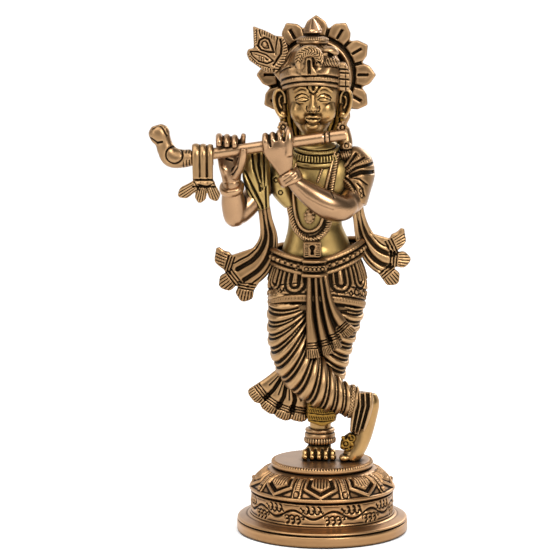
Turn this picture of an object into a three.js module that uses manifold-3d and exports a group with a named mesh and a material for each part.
// A cast brass statue of the flute-playing Krishna, standing cross-legged on a round lotus pedestal.
// Millimetres, +Z up, +X to the right of a viewer who faces the statue, and the statue faces -Y.
// The origin is the middle of the pedestal's underside. Left and right in names are the figure's own.
import * as THREE from "three";
import { mergeVertices } from "three/addons/utils/BufferGeometryUtils.js";
import Module from "manifold-3d";

const wasm = await Module();
wasm.setup();

// Driving dimensions.
const PLATE_RADIUS = 38; // half of the three inch foot plate
const DRUM_RADIUS = 31.6;
const TIER_RADIUS = 32.9;
const DISC_RADIUS = 22.7;
const PLATE_TOP = 8.2;
const TIER_BOTTOM = 18.7;
const TIER_TOP = 28.2;
const SPIGOT_RADIUS = 19.7; // the standing disc's spigot, let into the tier
const SPIGOT_DEPTH = 2;
const STANDING_Z = 31.8; // the face that the feet stand on
const HIP_LINE = 108; // where the thighs meet the hips
const WAIST_LINE = 121.6; // where the hips meet the torso
const FLUTE_RADIUS = 2.45;
const FINGER_RADIUS = 1.45;
const SLEEVE_THICKNESS = 1.6;
const HALO_CENTRE = new THREE.Vector3(-2.8, 16.4, 201.6);
const HALO_RADIUS = 26.4;
const HALO_RAYS = 12;
const RAY_VALLEY = 20.8; // radius between two rays
const RAY_SHOULDER = 23.9; // radius where a ray's sides turn in to its point
const RAY_TURN = 0.64; // and how far round that is, from the point to the valley
const TIER_PETALS = 9;
const FIRST_PETAL = -2.3; // degrees round from the front to the first petal
const GAP = 0.3; // left between pieces that are brazed face to face
const REACH = 60; // longer than any piece is deep

const FINISH = {
  skin: new THREE.MeshStandardMaterial({ color: 0xb98a5c, metalness: 1, roughness: 0.32 }),
  cloth: new THREE.MeshStandardMaterial({ color: 0x9c7540, metalness: 1, roughness: 0.42 }),
  ornament: new THREE.MeshStandardMaterial({ color: 0xa37c46, metalness: 1, roughness: 0.38 }),
  pedestal: new THREE.MeshStandardMaterial({ color: 0xa87c50, metalness: 1, roughness: 0.4 }),
};

const statue = new THREE.Group();

// ---- solids ----

// A closed geometry as a solid that can be cut and joined.
function solidOf(geometry) {
  const bare = geometry.clone();
  bare.deleteAttribute("normal");
  bare.deleteAttribute("uv");
  const merged = mergeVertices(bare, 1e-4);
  return new wasm.Manifold(
    new wasm.Mesh({
      numProp: 3,
      vertProperties: merged.attributes.position.array,
      triVerts: new Uint32Array(merged.index.array),
    }),
  );
}

// Adds a solid to the statue as one named mesh.
function piece(name, solid, finish) {
  const cut = solid.getMesh();
  const geometry = new THREE.BufferGeometry();
  geometry.setAttribute("position", new THREE.BufferAttribute(cut.vertProperties, 3));
  geometry.setIndex(new THREE.BufferAttribute(cut.triVerts, 1));
  geometry.computeVertexNormals();
  const mesh = new THREE.Mesh(geometry, FINISH[finish]);
  mesh.name = name;
  statue.add(mesh);
}

const joined = (solids) => solids.reduce((whole, solid) => whole.add(solid));
const without = (solid, others) => others.reduce((left, other) => left.subtract(other), solid);

// A tapering limb through sections [x, y, z, half width, half depth]. The half depth lies along
// the reference axis, and grow makes it thicker and longer all round.
function limb(sections, grow = 0, sides = 11, reference = new THREE.Vector3(0, 1, 0), rings = 1.5) {
  const path = new THREE.CatmullRomCurve3(sections.map(([x, y, z]) => new THREE.Vector3(x, y, z)));
  const size = new THREE.CatmullRomCurve3(sections.map(([, , , w, d]) => new THREE.Vector3(w, d, 0)));
  const steps = Math.round(rings * (sections.length - 1));
  const geometry = new THREE.CylinderGeometry(1, 1, 1, sides, steps);
  const place = geometry.getAttribute("position");
  for (let i = 0; i < place.count; i++) {
    const along = place.getY(i) + 0.5;
    const tangent = path.getTangent(along);
    const depth = reference.clone().addScaledVector(tangent, -reference.dot(tangent)).normalize();
    const side = tangent.clone().cross(depth);
    const half = size.getPoint(along);
    const point = path
      .getPoint(along)
      .addScaledVector(side, place.getX(i) * (half.x + grow))
      .addScaledVector(depth, place.getZ(i) * (half.y + grow));
    if (along < 0.001) point.addScaledVector(tangent, -grow);
    if (along > 0.999) point.addScaledVector(tangent, grow);
    place.setXYZ(i, point.x, point.y, point.z);
  }
  return solidOf(geometry);
}

// A turned piece about the vertical axis at (x, y), from a profile of [radius, height].
function turned(profile, x = 0, y = 0, segments = 36) {
  const points = profile.map(([radius, height]) => new THREE.Vector2(radius, height));
  const geometry = new THREE.LatheGeometry(points, segments);
  geometry.rotateX(Math.PI / 2);
  geometry.translate(x, y, 0);
  return solidOf(geometry);
}

// A flat outline of [x, z] points made solid from front to back.
function prism(outline, front = -REACH, back = REACH) {
  const shape = new THREE.Shape(outline.map(([x, z]) => new THREE.Vector2(x, z)));
  const geometry = new THREE.ExtrudeGeometry(shape, { depth: back - front, bevelEnabled: false });
  geometry.rotateX(Math.PI / 2);
  geometry.translate(0, back, 0);
  return solidOf(geometry);
}

// A plate with softened edges round an outline of [x, z] points, centred at a depth. With steps
// above one the outline is drawn as a smooth loop through the points.
function plate(outline, middle, thickness, steps = 2, edge = 0.4) {
  const corners = outline.map(([x, z]) => new THREE.Vector3(x, z, 0));
  const loop = new THREE.CatmullRomCurve3(corners, true);
  const points = steps > 1 ? loop.getPoints(outline.length * steps).slice(1) : corners;
  const shape = new THREE.Shape(points.map((point) => new THREE.Vector2(point.x, point.y)));
  const geometry = new THREE.ExtrudeGeometry(shape, {
    depth: thickness - 2 * edge,
    bevelSize: edge,
    bevelThickness: edge,
    bevelOffset: -edge,
    bevelSegments: 1,
  });
  geometry.rotateX(Math.PI / 2);
  geometry.translate(0, middle + thickness / 2 - edge, 0);
  return solidOf(geometry);
}

function rod(from, to, radius, sides = 16) {
  const start = new THREE.Vector3(...from);
  const end = new THREE.Vector3(...to);
  const axis = end.clone().sub(start);
  const geometry = new THREE.CylinderGeometry(radius, radius, axis.length(), sides);
  geometry.applyQuaternion(
    new THREE.Quaternion().setFromUnitVectors(new THREE.Vector3(0, 1, 0), axis.normalize()),
  );
  const middle = start.add(end).multiplyScalar(0.5);
  geometry.translate(middle.x, middle.y, middle.z);
  return solidOf(geometry);
}

function pebble([x, y, z], [rx, ry, rz], sides = 8) {
  const geometry = new THREE.SphereGeometry(1, sides, sides - 2);
  geometry.rotateX(Math.PI / 2);
  geometry.scale(rx, ry, rz);
  geometry.translate(x, y, z);
  return solidOf(geometry);
}

const slabBetween = (low, high) =>
  prism([
    [-2 * REACH, low],
    [2 * REACH, low],
    [2 * REACH, high],
    [-2 * REACH, high],
  ]);

// A solid with a gap on every side of it, for cutting the room it needs out of its neighbours.
const roomFor = (solid) =>
  joined(
    [0, 1, 2].flatMap((axis) =>
      [-GAP, GAP].map((step) => solid.translate([0, 0, 0].with(axis, step))),
    ),
  );

// The biggest body of a cut, without the slivers.
const mainBody = (solid) => solid.decompose().sort((a, b) => b.volume() - a.volume())[0];

// A shell that hugs a body inside an outline, from clearance to clearance + thickness above it.
function shell(body, outline, thickness, clearance = GAP) {
  return prism(outline).intersect(body(clearance + thickness)).subtract(body(clearance));
}

// ---- the bodies that other pieces are fitted to, each as a function of how much it is grown ----

const LEFT_FOOT = [
  [-1.2, 13, 34.2, 3.2, 2.2],
  [-1.2, 11, 34.8, 4.8, 3],
  [-1.3, 5.5, 35.6, 5.2, 4],
  [-1.6, 0, 34.6, 6.4, 2.9],
  [-1.8, -2.6, 33.9, 7, 2.2],
];
const LEFT_ANKLE = [
  [-1, 5.5, 35, 5.6, 5.8],
  [-0.8, 5, 42, 5, 5.2],
  [-0.6, 4.6, 50, 4.7, 4.7],
];
const LEFT_LEG = [
  [-0.4, 4.2, 50.4, 5.9, 5.9],
  [0.4, 4, 58, 6.8, 6.8],
  [2.6, 4, 70, 7.8, 7.8],
  [5.2, 4, 84, 9, 8.7],
  [8, 4, 98, 10.3, 9.6],
  [9, 4, 112, 11, 10.2],
];
const RIGHT_LEG = [
  [-12.2, 2, 112, 12, 10.4],
  [-13.2, 0.4, 97, 11.2, 10.4],
  [-12.8, -1.8, 85, 10.8, 10],
  [-9, -4.6, 73.5, 10.4, 9.3],
  [-1.6, -5.6, 65.2, 9, 8.3],
  [5.6, -5, 60.8, 7.6, 7],
  [11, -4, 58.8, 6.6, 6],
];
const RIGHT_FOOT = [
  [19.8, -2, 61.2, 3.2, 3],
  [20, -2, 57.5, 5, 4.4],
  [19, -2, 51, 5.4, 4.8],
  [17, -2.2, 43, 5.2, 5],
  [14.2, -2.8, 36.5, 4.8, 5.6],
  [12, -3, 32.4, 3.8, 5.4],
];
const HIPS = [
  [-2.2, 3.6, 106, 22.2, 11.4],
  [-2.2, 3.6, 114, 21.6, 11.2],
  [-2.4, 3.8, 124, 17.6, 9.8],
];
const TORSO = [
  [-2.4, 3.8, 119, 18.2, 9.8],
  [-2.8, 4, 128, 15, 9],
  [-3.3, 4, 137, 11.5, 8],
  [-2.6, 4, 146, 13.8, 9],
  [-1.6, 4, 155, 17.4, 9.6],
  [-1.4, 4, 162, 17.4, 8.4],
  [-1.6, 4, 166.4, 11.5, 6.4],
];
const NECK = [
  [-2.8, 3.6, 166, 6.8, 6.2],
  [-3.4, 3.2, 172, 5.8, 5.6],
  [-4.2, 3, 181, 5.8, 5.8],
];
const COLLAR = [
  [-2.6, 3, 162.6, 11.6, 11],
  [-2.9, 3, 166, 10.6, 9.8],
  [-3.2, 3, 169.6, 8.4, 8],
];
const HEAD = [
  [-4.5, -4.6, 177.6, 2.6, 2.4],
  [-4.5, -2.6, 179.6, 6.4, 6.6],
  [-4.5, -0.6, 184.5, 9.4, 10.4],
  [-4.5, 0.4, 191, 11.2, 12],
  [-4.5, 0.5, 198, 11.8, 12.6],
  [-4.5, 0.6, 206, 10.6, 11.6],
  [-4.5, 0.8, 211.2, 6.4, 7],
];
const LEFT_UPPER_ARM = [
  [12.6, 3.2, 163.8, 4.4, 4.4],
  [15.6, 2.4, 160.4, 6.2, 6],
  [15.4, 0, 153, 6, 5.8],
  [12.6, -3.6, 147, 5.2, 5.2],
];
const LEFT_FOREARM = [
  [-14.6, -12.9, 157.4, 2.9, 2.8],
  [-9.6, -11.9, 153.2, 3.9, 3.6],
  [-2.4, -12.2, 148.2, 5.2, 4.6],
  [5, -11.2, 145.8, 5.9, 5.2],
  [10.8, -8.8, 145.6, 4.9, 4.8],
  [12.8, -7.6, 146.4, 3, 3],
];
const RIGHT_UPPER_ARM = [
  [-17.6, 3.2, 163, 4.6, 4.6],
  [-21.6, 3, 159.6, 5.6, 5.6],
  [-27.6, 1, 152, 5.2, 5.2],
  [-34.4, -2.6, 144.4, 4.6, 4.8],
];
const RIGHT_FOREARM = [
  [-38.2, -4.8, 137, 2.4, 2.4],
  [-38.6, -5.2, 139.6, 4.6, 4.4],
  [-39, -6.6, 146, 5, 4.8],
  [-39.5, -8.6, 151.4, 4.5, 4.1],
  [-39.8, -9.8, 156.2, 3.9, 3.3],
];
const FLUTE_START = [9.6, -13.6, 176.9];
const FLUTE_END = [-58, -14.6, 167.1];
const CROWN = [
  [-4.5, 0.3, 197, 14, 14.2],
  [-4.5, 0.4, 202, 14.6, 14.5],
  [-4.5, 0.6, 207, 13.9, 14],
  [-4.5, 1, 212, 10.4, 10.6],
  [-4.5, 1.2, 215.2, 6.4, 6.6],
];
const HAIR = [
  [-4.5, 8.6, 208, 8, 3.6],
  [-4.5, 9.8, 196, 12.6, 3.8],
  [-4.5, 9.6, 182, 13.4, 3.8],
  [-3.5, 9.4, 170, 11.4, 3.6],
  [-3, 9.4, 160, 7, 3.2],
];

const ALONG_FOOT = new THREE.Vector3(0, 0, 1);
const torso = (grow) => limb(TORSO, grow, 16);
const hips = (grow) => limb(HIPS, grow, 18);
const leftLeg = (grow) => limb(LEFT_LEG, grow, 14);
const rightLeg = (grow) => limb(RIGHT_LEG, grow, 16);
const leftFoot = (grow) => limb(LEFT_FOOT, grow, 12, ALONG_FOOT).add(limb(LEFT_ANKLE, grow));
const rightFoot = (grow) => limb(RIGHT_FOOT, grow);
const neck = (grow) => limb(NECK, grow);
const collar = (grow) => limb(COLLAR, grow, 18);
const head = (grow) => limb(HEAD, grow, 18);
const crown = (grow) => limb(CROWN, grow, 18);
const hair = (grow) => limb(HAIR, grow, 16);
const leftUpperArm = (grow) => limb(LEFT_UPPER_ARM, grow);
const leftForearm = (grow) => limb(LEFT_FOREARM, grow);
const rightUpperArm = (grow) => limb(RIGHT_UPPER_ARM, grow);
const rightForearm = (grow) => limb(RIGHT_FOREARM, grow);
const flute = (grow) => rod(FLUTE_START, FLUTE_END, FLUTE_RADIUS + grow);
const lowerBody = (grow) => joined([hips(grow), leftLeg(grow), rightLeg(grow)]);
const middle = (grow) => torso(grow).add(hips(grow));

// The lugs under the feet, which are brazed into holes in the standing disc.
const LEFT_LUG = [-1.4, 4.5];
const RIGHT_LUG = [12.6, -3];
const LUG_LENGTH = 5.2;
const lug = ([x, y], radius, top) => rod([x, y, STANDING_Z - LUG_LENGTH], [x, y, top], radius, 12);

// ---- pedestal ----

function pedestal() {
  const rim = 6.5;
  piece(
    "foot_plate",
    turned([
      [0, 0],
      [PLATE_RADIUS - 0.8, 0],
      [PLATE_RADIUS, 0.8],
      [PLATE_RADIUS, rim - 1.4],
      [PLATE_RADIUS - 0.45, rim - 1.2],
      [PLATE_RADIUS - 0.45, rim - 0.9],
      [PLATE_RADIUS, rim - 0.7],
      [PLATE_RADIUS - 0.5, rim],
      [DRUM_RADIUS + 0.5, PLATE_TOP],
      [0, PLATE_TOP],
    ]),
    "pedestal",
  );
  const [low, high] = [PLATE_TOP + GAP, TIER_BOTTOM - GAP];
  piece(
    "pedestal_drum",
    turned([
      [0, low],
      [DRUM_RADIUS - 0.4, low],
      [DRUM_RADIUS + 0.3, (low + high) / 2],
      [DRUM_RADIUS - 0.2, high],
      [0, high],
    ]),
    "pedestal",
  );
  piece("lotus_tier", lotusTier(), "pedestal");
  const disc = turned([
    [0, TIER_TOP - SPIGOT_DEPTH + GAP],
    [SPIGOT_RADIUS, TIER_TOP - SPIGOT_DEPTH + GAP],
    [SPIGOT_RADIUS, TIER_TOP + GAP],
    [DISC_RADIUS - 1.4, TIER_TOP + GAP],
    [DISC_RADIUS, TIER_TOP + 1.2],
    [DISC_RADIUS, STANDING_Z - 0.5],
    [DISC_RADIUS - 0.5, STANDING_Z],
    [0, STANDING_Z],
  ]);
  const holes = [lug(LEFT_LUG, 2.8 + GAP, STANDING_Z + 1), lug(RIGHT_LUG, 2 + GAP, STANDING_Z + 1)];
  piece("standing_disc", without(disc, holes), "pedestal");
}

// A sloping tier with a ring of pointed petals, and a recess on top for the standing disc.
function lotusTier() {
  const recess = SPIGOT_RADIUS + GAP;
  const tier = turned([
    [0, TIER_BOTTOM],
    [TIER_RADIUS - 0.6, TIER_BOTTOM],
    [TIER_RADIUS, TIER_BOTTOM + 1.4],
    [TIER_RADIUS - 0.8, TIER_BOTTOM + 3.2],
    [29.4, TIER_BOTTOM + 6.4],
    [25.6, TIER_BOTTOM + 8.8],
    [23, TIER_TOP],
    [recess, TIER_TOP],
    [recess, TIER_TOP - SPIGOT_DEPTH],
    [0, TIER_TOP - SPIGOT_DEPTH],
  ]);
  const half = 7;
  const petal = new THREE.ExtrudeGeometry(
    new THREE.Shape(
      [
        [-0.7 * half, 5],
        [-half, -1.5],
        [0, -5.6],
        [half, -1.5],
        [0.7 * half, 5],
      ].map(([x, y]) => new THREE.Vector2(x, y)),
    ),
    { depth: 2.4, bevelEnabled: false },
  );
  petal.rotateX(THREE.MathUtils.degToRad(44));
  petal.translate(0, -28.2, TIER_BOTTOM + 4.4);
  const petals = [];
  for (let i = 0; i < TIER_PETALS; i++) {
    const turnedPetal = petal.clone();
    turnedPetal.rotateZ(THREE.MathUtils.degToRad(FIRST_PETAL + (360 * i) / TIER_PETALS));
    petals.push(solidOf(turnedPetal));
  }
  return joined([tier, ...petals]);
}

// ---- feet and legs ----

function feet() {
  const ground = slabBetween(-REACH, STANDING_Z + GAP);
  const toes = [0, 1, 2, 3, 4].map((i) =>
    pebble([-7.4 + 3 * i, -3.6 + 0.35 * i, 33.9], [1.55, 2.2, 1.6 - 0.06 * i]),
  );
  const left = without(joined([leftFoot(0), ...toes]), [ground]);
  piece("left_foot", left.add(lug(LEFT_LUG, 2.8, STANDING_Z + 2)), "skin");
  const tips = [0, 1, 2].map((i) => pebble([9.4 + 0.6 * i, -6.2 + 3 * i, 33.8], [1.9, 1.5, 1.7]));
  const right = without(joined([rightFoot(0), ...tips]), [ground]);
  piece("right_foot", right.add(lug(RIGHT_LUG, 2, STANDING_Z + 2)), "skin");

  const anklet = limb(
    [
      [-1, 5.2, 38.4, 6.9, 7.2],
      [-0.9, 5.1, 41.2, 6.4, 6.6],
      [-0.8, 5, 44.8, 6.2, 6.4],
    ],
    0,
    20,
  );
  piece("left_anklet", without(anklet, [leftFoot(GAP), ground]), "ornament");
  const bells = limb([
    [13.6, -5.6, 43.4, 2.4, 2.2],
    [11, -6, 40.4, 3.4, 3],
    [9.8, -6, 37.4, 2.4, 2.4],
  ]);
  const rightAnklet = without(bells, [rightFoot(GAP)]);
  piece("right_anklet", rightAnklet, "ornament");
  return rightAnklet;
}

function legs(anklet) {
  const aboveThighs = slabBetween(HIP_LINE, HIP_LINE + REACH);
  piece("left_leg_dhoti", without(leftLeg(0), [aboveThighs, leftFoot(GAP)]), "cloth");
  piece(
    "right_leg_dhoti",
    without(rightLeg(0), [aboveThighs, leftLeg(GAP), rightFoot(GAP)]),
    "cloth",
  );
  const cuff = (grow) =>
    limb(
      [
        [11.8, -3.8, 58.6, 7.4, 6.8],
        [13, -3.6, 58.3, 7.4, 6.8],
        [14.2, -3.4, 58, 7, 6.4],
      ],
      grow,
      18,
    );
  piece("right_cuff", without(cuff(0), [rightLeg(GAP), rightFoot(GAP)]), "ornament");
  const hem = limb(
    [
      [17.4, -3.4, 61, 3.6, 4.8],
      [16.2, -3.4, 55, 4.4, 6.4],
      [15.6, -3.2, 49, 4, 6.6],
      [15.4, -3.2, 43.8, 2.8, 6],
    ],
    0,
    16,
  );
  const hemClear = [rightFoot(GAP), cuff(GAP), rightLeg(GAP), roomFor(anklet)];
  piece("right_hem_folds", without(hem, hemClear), "cloth");
  const drop = [
    [-6.2, 62],
    [-6.6, 49.6],
    [-0.2, 47.6],
    [5.2, 49.8],
    [5.8, 54.4],
    [0.5, 58.6],
  ];
  const frontOfLeg = prism(drop, -REACH, 3);
  const hanging = (grow) => limb(LEFT_LEG.map(([x, y, z, w, d]) => [x, y, z - 3, w, d]), grow, 16);
  piece(
    "dhoti_hem",
    without(frontOfLeg.intersect(hanging(1.7)), [leftLeg(GAP), rightLeg(GAP), leftFoot(1)]),
    "cloth",
  );
  const fan = plate(
    [
      [-17, 74],
      [-25.2, 66.6],
      [-31.6, 61],
      [-31.4, 57.6],
      [-25.4, 56.2],
      [-22.6, 51],
      [-17.2, 50.6],
      [-13.8, 48.4],
      [-7.8, 49],
      [-6.4, 58],
      [-8, 68],
    ],
    2.6,
    3,
    2,
  );
  piece("dhoti_tail", without(fan, [leftLeg(GAP), rightLeg(GAP)]), "cloth");
}

// ---- waist ----

function waist() {
  const waistSlab = slabBetween(HIP_LINE + GAP, WAIST_LINE);
  piece("hips", hips(0).intersect(waistSlab), "cloth");
  const belt = [
    [-25.5, 119.4],
    [-20, 128],
    [-9, 123.2],
    [-4, 122],
    [1.5, 124.4],
    [15.5, 130.4],
    [20.5, 122.8],
    [10, 118.4],
    [2, 115.4],
    [-4, 113.8],
    [-10, 115],
  ];
  const beltSolid = shell(middle, belt, 1.6);
  piece("waist_belt", beltSolid, "ornament");
  const beltRoom = roomFor(beltSolid);
  const buckle = plate(rectangle(-4.7, 126.3, 4.1, 3.4), -6.4, 4.2, 1, 0.6);
  piece("belt_buckle", without(buckle, [middle(GAP), beltRoom]), "ornament");
  const clasp = plate(rectangle(-3.8, 118.4, 5.5, 3.8), -9.8, 4.6, 1, 0.7);
  piece("belt_clasp", without(clasp, [middle(GAP), beltRoom]), "ornament");
  const claspRoom = prism(rectangle(-3.8, 118.4, 5.8, 4.1), -REACH, 0);

  const rightPanel = [
    [-27, 122],
    [-9, 117],
    [-8.6, 103.4],
    [-14, 100.8],
    [-27, 99.4],
  ];
  const leftPanel = [
    [1.8, 117],
    [22, 124],
    [22, 98.6],
    [12, 100.4],
    [4.6, 103.4],
  ];
  const sash = frontSash([lowerBody(GAP), beltRoom, claspRoom]);
  piece("front_sash", sash, "cloth");
  const clear = [beltRoom, claspRoom, roomFor(sash)];
  for (const [name, outline] of [
    ["right_hip_panel", rightPanel],
    ["left_hip_panel", leftPanel],
  ]) {
    piece(name, mainBody(without(shell(lowerBody, outline, 1.3), clear)), "ornament");
  }
}

const rectangle = (x, z, halfWidth, halfHeight) => [
  [x - halfWidth, z - halfHeight],
  [x + halfWidth, z - halfHeight],
  [x + halfWidth, z + halfHeight],
  [x - halfWidth, z + halfHeight],
];

// Four gathered strands that fan out from under the clasp to fringed ends.
function frontSash(clearOf) {
  const strands = [
    [[-6, -9.6, 114], [-5.8, -11.4, 98], [-5, -12.2, 86], [-4.4, -12.6, 79.2]],
    [[-3.5, -9.8, 114], [-2.2, -11, 100], [0, -11.6, 89], [2.6, -12.2, 81]],
    [[-1.2, -9.6, 114], [1, -10, 100], [3.4, -10.4, 91], [6.4, -11, 83.6]],
    [[0.9, -9.2, 114], [3.6, -9, 102.4], [7.2, -8.6, 95.2], [12.2, -8, 89.6]],
  ];
  const spread = [1.3, 1.5, 1.9, 2.9];
  const solids = strands.map((points) =>
    limb(points.map(([x, y, z], i) => [x, y, z, spread[i], 1.6]), 0, 10),
  );
  const backing = plate(
    [
      [-7.2, 113.6],
      [2, 113.6],
      [4.4, 104],
      [12.6, 91.4],
      [7, 84],
      [-5, 79.6],
      [-7.4, 92],
    ],
    -7.4,
    6.4,
    1,
    0.3,
  );
  return without(joined([backing, ...solids]), clearOf);
}

// ---- torso and its jewellery ----

// The depth of a body's front face above (x, z), from its sections.
function frontOf(sections, x, z) {
  const above = sections.findIndex((section) => section[2] >= z);
  const [low, high] = [sections[above - 1], sections[above]];
  const share = (z - low[2]) / (high[2] - low[2]);
  const [cx, cy, , w, d] = low.map((value, i) => value + share * (high[i] - value));
  return cy - d * Math.sqrt(Math.max(0.05, 1 - ((x - cx) / w) ** 2));
}

function torsoPieces() {
  const belowTorso = slabBetween(0, WAIST_LINE + GAP);
  piece("torso", without(torso(0), [belowTorso]), "skin");
  piece("neck", without(neck(0), [torso(GAP), head(GAP)]), "skin");
  const inner = [torso(GAP), neck(GAP), hair(GAP)];
  piece("collar", mainBody(without(collar(0), inner)), "ornament");

  const route = [
    [4.4, 161.6, 1.8],
    [2.6, 153, 2.2],
    [2.2, 145, 2.2],
    [0.2, 138.6, 2.2],
    [-5.8, 133.4, 2.2],
    [-10.2, 138, 2.2],
    [-12.4, 145, 2.2],
    [-14.2, 153, 2.2],
    [-15, 161, 2],
  ];
  const garland = limb(
    route.map(([x, z, half]) => [x, frontOf(TORSO, x, z) - 0.9, z, half, 1.2]),
    0,
    8,
  );
  const arms = [leftForearm(GAP), leftUpperArm(GAP), rightUpperArm(GAP)];
  const links = without(garland, [torso(GAP), collar(GAP), ...arms]);
  piece("garland", links, "ornament");
  const chest = frontOf(TORSO, -5.9, 140.4);
  const pendant = pebble([-5.9, chest - 0.2, 140.4], [2.3, 1.7, 3]);
  piece("chest_pendant", without(pendant, [torso(GAP), leftForearm(GAP), roomFor(links)]), "ornament");
}

// ---- arms, hands and what they wear ----

function finger(points, radius = FINGER_RADIUS) {
  const taper = 0.12; // thinner by this at each joint
  const sections = points.map((point, i) => [...point, radius - taper * i, radius - taper * i]);
  return limb(sections, 0, 7, undefined, 1);
}

function leftHand() {
  const palm = limb([
    [-16.4, -14.4, 160.2, 2.9, 1.8],
    [-18, -16.2, 166, 5, 2],
    [-19.4, -17.6, 171.4, 6.6, 2],
    [-19.8, -17.6, 174.4, 6.2, 1.7],
  ]);
  const curled = [-25, -22, -19].map((x) =>
    finger([
      [x + 0.4, -17.8, 172],
      [x, -18, 175.2],
      [x, -16.2, 177],
      [x, -13.8, 177.2],
    ]),
  );
  const index = finger(
    [
      [-15.2, -17.8, 171.6],
      [-15.2, -17.8, 176],
      [-15.4, -16.2, 179],
      [-15.4, -14.2, 179.6],
    ],
    1.8,
  );
  return joined([palm, ...curled, index]);
}

function rightHand() {
  const palm = limb([
    [-39.8, -10.2, 157, 3.9, 2.6],
    [-40, -10.6, 161, 5, 2.4],
    [-40, -10, 167, 5.6, 2],
    [-40.2, -9.6, 172, 5.8, 1.8],
  ]);
  const curled = [-44.8, -41.4, -38.2].map((x) =>
    finger([
      [x, -9.8, 171],
      [x, -11.2, 175],
      [x, -15, 175.4],
      [x, -17.6, 172.4],
    ]),
  );
  const little = finger([
    [-35.6, -10, 170.4],
    [-35, -10.8, 174],
    [-34.4, -12, 177.4],
  ]);
  const thumb = finger(
    [
      [-38, -12, 159.4],
      [-35.6, -15.6, 163.4],
      [-34.6, -18, 167.4],
      [-34.4, -18.4, 171.4],
    ],
    1.8,
  );
  const heel = pebble([-42.4, -12.2, 161], [2.2, 2.4, 3]);
  return joined([palm, ...curled, little, thumb, heel]);
}

function arms() {
  piece("left_forearm", leftForearm(0), "skin");
  piece("right_forearm", rightForearm(0), "skin");
  piece(
    "left_upper_arm",
    without(leftUpperArm(0), [torso(GAP), leftForearm(GAP), neck(GAP)]),
    "skin",
  );
  piece(
    "right_upper_arm",
    without(rightUpperArm(0), [torso(GAP), rightForearm(GAP)]),
    "skin",
  );
  const fluteFit = flute(GAP);
  piece("left_hand", without(leftHand(), [fluteFit, leftForearm(GAP)]), "skin");
  piece("right_hand", without(rightHand(), [fluteFit, rightForearm(GAP)]), "skin");
  const leftBangle = limb(
    [
      [-13.4, -12.8, 157, 5, 4.8],
      [-14.6, -13, 158.3, 5.2, 5],
      [-15.8, -13.2, 159.6, 5, 4.8],
    ],
    0,
    20,
  );
  const wristClear = [leftForearm(GAP), roomFor(leftHand())];
  piece("left_bangle", without(leftBangle, wristClear), "ornament");
  const rightBangle = limb(
    [
      [-39.2, -8.6, 152, 5.4, 5],
      [-39.4, -9, 153.3, 5.6, 5.2],
      [-39.6, -9.4, 154.6, 5.4, 5],
    ],
    0,
    20,
  );
  piece("right_bangle", without(rightBangle, [rightForearm(GAP)]), "ornament");
  const sleeveCut = prism([
    [3, 172],
    [30, 172],
    [30, 150],
    [17, 143],
    [11, 152.6],
    [6, 158],
  ]);
  const clear = [torso(GAP), leftForearm(GAP), leftUpperArm(GAP), neck(GAP), hair(GAP)];
  piece("left_sleeve", without(leftUpperArm(SLEEVE_THICKNESS).intersect(sleeveCut), clear), "cloth");
}

// ---- shawl and scarf ends ----

// A tassel: a fringed leaf from a root towards a tip.
function tassel([x, z], [tipX, tipZ], halfWidth, depth, thickness = 2.6) {
  const along = new THREE.Vector2(tipX - x, tipZ - z);
  const across = new THREE.Vector2(-along.y, along.x).normalize();
  const at = (share, side) => [
    x + share * along.x + side * halfWidth * across.x,
    z + share * along.y + side * halfWidth * across.y,
  ];
  const outline = [
    at(-0.1, -0.6),
    at(0.45, -1),
    at(0.85, -0.7),
    at(1, 0),
    at(0.85, 0.7),
    at(0.45, 1),
    at(-0.1, 0.6),
  ];
  return plate(outline, depth, thickness, 2);
}

function scarves() {
  const shawl = limb(
    [
      [-27.8, -5.6, 167.6, 4.8, 2.4],
      [-28.4, -6, 160, 6.2, 2.6],
      [-27.6, -5, 152, 4.6, 2.4],
      [-26.2, -3, 146.6, 3, 2],
    ],
    0,
    16,
  );
  const armsNear = [rightUpperArm(GAP), rightForearm(GAP), torso(GAP), flute(GAP)];
  piece("right_shawl", without(shawl, armsNear), "cloth");
  const rightTail = limb(
    [
      [-26.2, -2.6, 146, 2.7, 1.8],
      [-25, 0, 138.4, 2.9, 1.7],
      [-23.8, 0.8, 130.5, 4.2, 1.6],
      [-25.7, 1, 123.4, 5.9, 1.6],
      [-29.4, 1, 118.6, 7.2, 1.6],
      [-34.6, 1, 115, 7.6, 1.6],
    ],
    0,
    12,
  );
  const rightEnds = [
    tassel([-38.5, 118.8], [-46.4, 124], 3.4, 1),
    tassel([-37, 115], [-43.6, 109.4], 3.4, 1),
    tassel([-33.4, 111.6], [-33.6, 102.8], 3, 1),
  ];
  const body = [lowerBody(GAP), torso(GAP), rightUpperArm(GAP)];
  const shellClear = [beltClear(), panelClear()];
  piece(
    "right_scarf",
    without(joined([rightTail, ...rightEnds]), [...body, ...shellClear, roomFor(shawl)]),
    "cloth",
  );
  const leftTail = limb(
    [
      [14.8, 1.4, 146, 2.6, 1.8],
      [16.3, 2, 138, 3, 1.7],
      [18.6, 2, 130.6, 4.4, 1.6],
      [22.4, 2, 124.6, 6.2, 1.6],
      [26.4, 2, 121.7, 7.6, 1.6],
      [30.6, 2, 120.4, 7.4, 1.6],
    ],
    0,
    12,
  );
  const leftEnds = [
    tassel([29.4, 124.6], [36.6, 134], 2.9, 2),
    tassel([29.4, 120.8], [38.2, 120.4], 3.2, 2),
    tassel([28.8, 117], [34.6, 109.6], 3, 2),
  ];
  piece(
    "left_scarf",
    without(joined([leftTail, ...leftEnds]), [
      ...body,
      ...shellClear,
      leftUpperArm(SLEEVE_THICKNESS + GAP),
      leftForearm(GAP),
    ]),
    "cloth",
  );
}

// The room that the belt and the hip panels take, with a gap round them.
const beltClear = () => middle(2.6).intersect(slabBetween(113, 131));
const panelClear = () => lowerBody(1.9).intersect(slabBetween(98, 124));

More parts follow.
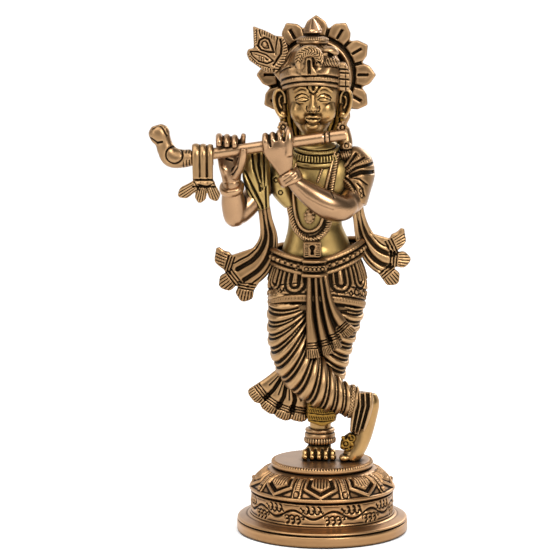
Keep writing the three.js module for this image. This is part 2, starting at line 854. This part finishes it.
// ---- flute ----

function flutePieces() {
  piece("flute", flute(0), "skin");
  const horn = limb(
    [
      [-58.4, -14.6, 167.1, 3.4, 3.2],
      [-63, -14.7, 166.9, 3.9, 3.4],
      [-67.8, -14.7, 168.2, 4, 3.4],
      [-69.8, -14.7, 172.2, 3.3, 3],
      [-70.6, -14.7, 175.6, 3.9, 3.2],
      [-71.6, -14.7, 178, 4.2, 3.2],
      [-71.9, -14.7, 180.2, 3, 2.4],
    ],
    0,
    16,
  );
  piece("flute_head", horn, "skin");
  const cloth = [
    flatStrand(-54.9),
    flatStrand(-51.9),
    flatStrand(-48.9),
    tassel([-55.2, 157], [-61.8, 151.4], 2.4, -18.6, 2.2),
    tassel([-52, 156.6], [-53, 148.8], 2.2, -18.6, 2.2),
    tassel([-49.2, 157], [-46, 149.8], 2.2, -18.6, 2.2),
  ];
  piece("flute_cloth", without(joined(cloth), [flute(GAP)]), "cloth");
}

// One strand of the cloth, over the top of the flute from back to front.
function flatStrand(x) {
  const z = 168 + (x + 52) * 0.144;
  const half = 1.62;
  const outline = [
    [-10.4, z - 3],
    [-10.4, z + 2],
    [-12.4, z + 4.6],
    [-15.4, z + 5],
    [-18, z + 3.4],
    [-19.4, z],
    [-19.6, z - 6],
    [-19.6, z - 13],
    [-17.6, z - 13],
    [-17.6, z - 3],
    [-12, z - 3],
  ];
  const shape = new THREE.Shape(outline.map(([y, height]) => new THREE.Vector2(y, height)));
  const geometry = new THREE.ExtrudeGeometry(shape, { depth: 2 * half, bevelEnabled: false });
  geometry.rotateX(Math.PI / 2);
  geometry.rotateZ(Math.PI / 2);
  geometry.translate(x - half, 0, 0);
  return solidOf(geometry);
}

// ---- head, crown and halo ----

// The round pin that carries the halo behind the head.
const haloPin = (grow) => rod([-3.6, 14.1 - grow, 202], [-3.6, 18.4, 202], 2 + grow, 12);

// A sun disc: a raised ring with pointed rays round it, on one plate.
function sunDisc() {
  const thickness = 2.4;
  const inner = 15.4;
  const outline = [];
  for (let i = 0; i < HALO_RAYS; i++) {
    const ray = (2 * Math.PI * i) / HALO_RAYS + Math.PI / 2;
    const step = Math.PI / HALO_RAYS;
    outline.push([ray - step, RAY_VALLEY]);
    outline.push([ray - RAY_TURN * step, RAY_SHOULDER]);
    outline.push([ray, HALO_RADIUS]);
    outline.push([ray + RAY_TURN * step, RAY_SHOULDER]);
  }
  const points = outline.map(([angle, radius]) => [
    HALO_CENTRE.x + radius * Math.cos(angle),
    HALO_CENTRE.z + radius * Math.sin(angle),
  ]);
  const front = HALO_CENTRE.y - thickness / 2;
  const rays = prism(points, front, front + thickness);
  const ring = turned(
    [
      [12.6, -0.2],
      [inner, -0.2],
      [inner, 1.2],
      [inner - 0.9, 1.9],
      [13.5, 1.9],
      [12.6, 1.2],
      [12.6, -0.2],
    ],
    0,
    0,
    36,
  )
    .rotate([90, 0, 0])
    .translate([HALO_CENTRE.x, front, HALO_CENTRE.z]);
  return without(joined([rays, ring]), [haloPin(GAP)]);
}

const halo = sunDisc();
const haloRoom = halo.add(halo.translate([0, -GAP, 0]));

const EARS = { right: -17.6, left: 8.6 };

// A long ear that leans away from the head, at x.
function ear(x, grow) {
  const outward = Math.sign(x + 4.5);
  const sections = [
    [x, 1, 183.2, 1.3, 1],
    [x + 0.6 * outward, 1.6, 189, 2.6, 1.5],
    [x + 0.3 * outward, 2, 195.4, 1.9, 1.2],
  ];
  return limb(sections, grow, 10);
}

function headPieces() {
  const headClear = [head(GAP), neck(GAP)];
  const crownRoom = crown(GAP);
  piece("head", head(0), "skin");
  for (const [name, x] of Object.entries(EARS)) {
    piece(`${name}_ear`, without(ear(x, 0), [...headClear, crownRoom, hair(GAP)]), "skin");
    const drop = pebble([x, 0.6, 179.4], [2, 1.8, 2.6]);
    piece(`${name}_earring`, without(drop, [...headClear, hair(GAP)]), "ornament");
  }
  piece(
    "hair",
    mainBody(without(hair(0), [head(GAP), neck(GAP), torso(GAP), crownRoom, haloRoom])),
    "cloth",
  );
  const lock = limb([
    [9.4, 3, 178.4, 2.2, 2],
    [10, 2, 172.6, 3, 2.4],
    [9, 0.6, 167.4, 2.6, 2.4],
  ]);
  const shoulder = [leftUpperArm(SLEEVE_THICKNESS + GAP), torso(GAP), hair(GAP), collar(GAP)];
  const earring = pebble([EARS.left, 0.6, 179.4], [2.3, 2.1, 2.9]);
  piece("left_hair_lock", without(lock, [...shoulder, ...headClear, earring]), "cloth");
}

function crownPieces() {
  const splitLow = 206.6;
  const bandPart = crown(0).intersect(slabBetween(190, splitLow));
  piece("crown_band", without(bandPart, [head(GAP), haloPin(GAP), haloRoom]), "ornament");
  const capPart = crown(-0.6).intersect(slabBetween(splitLow + GAP, 216));
  piece("crown_cap", without(capPart, [head(GAP), haloRoom]), "ornament");
  const middleX = -4.6;
  piece(
    "crown_disc",
    turned(
      [
        [0, 215.6],
        [5.6, 215.6],
        [6.9, 216.6],
        [6.6, 217.8],
        [4, 218.4],
        [0, 218.4],
      ],
      middleX,
      1,
      24,
    ),
    "ornament",
  );
  piece(
    "crown_finial",
    turned(
      [
        [0, 218.7],
        [2.6, 218.7],
        [4.2, 220.6],
        [3.9, 222],
        [1.6, 225.2],
        [0, 226.4],
      ],
      middleX,
      1,
      20,
    ),
    "ornament",
  );
  const crest = limb(
    [
      [-11.8, -13.4, 203.2, 1.5, 2],
      [-11, -14.4, 208, 2.1, 2.4],
      [-6, -14.6, 212, 2.4, 2.6],
      [-1, -14.4, 208, 2.1, 2.4],
      [-0.2, -13.4, 203.4, 1.5, 2],
    ],
    0,
    12,
  );
  const stem = plate(
    [
      [-7.6, 203],
      [-4.4, 203],
      [-4.8, 211],
      [-7.2, 211],
    ],
    -15,
    3,
    1,
  );
  const crestFit = without(joined([crest, stem]), [crown(GAP)]);
  piece("crown_crest", crestFit, "ornament");
  const bud = limb([
    [1.6, -10.4, 210.4, 1.6, 2],
    [4, -8.8, 211.4, 2.6, 2.6],
    [6.8, -6.8, 211.6, 1.4, 1.6],
  ]);
  piece("crown_bud", without(bud, [crown(GAP), roomFor(crestFit)]), "ornament");
  const side = plate(rectangle(9, 200.7, 3, 6.3), -1, 8, 2, 0.8);
  const sideClear = [crown(GAP), head(GAP), hair(GAP), ear(EARS.left, GAP)];
  piece("crown_side_panel", mainBody(without(side, sideClear)), "ornament");
  const feather = plate(
    [
      [-20.6, 202.4],
      [-27, 204],
      [-33.4, 211.8],
      [-30.4, 213.6],
      [-30.8, 223.2],
      [-22.6, 220.4],
      [-17.2, 219],
      [-15.2, 213.6],
      [-17.4, 206],
    ],
    2,
    3.4,
  );
  piece("peacock_feather", without(feather, [crown(GAP), head(GAP), hair(GAP)]), "ornament");
}

pedestal();
legs(feet());
waist();
torsoPieces();
arms();
scarves();
flutePieces();
headPieces();
crownPieces();
piece("halo", halo, "ornament");
piece("halo_pin", haloPin(0), "ornament");

export default statue;
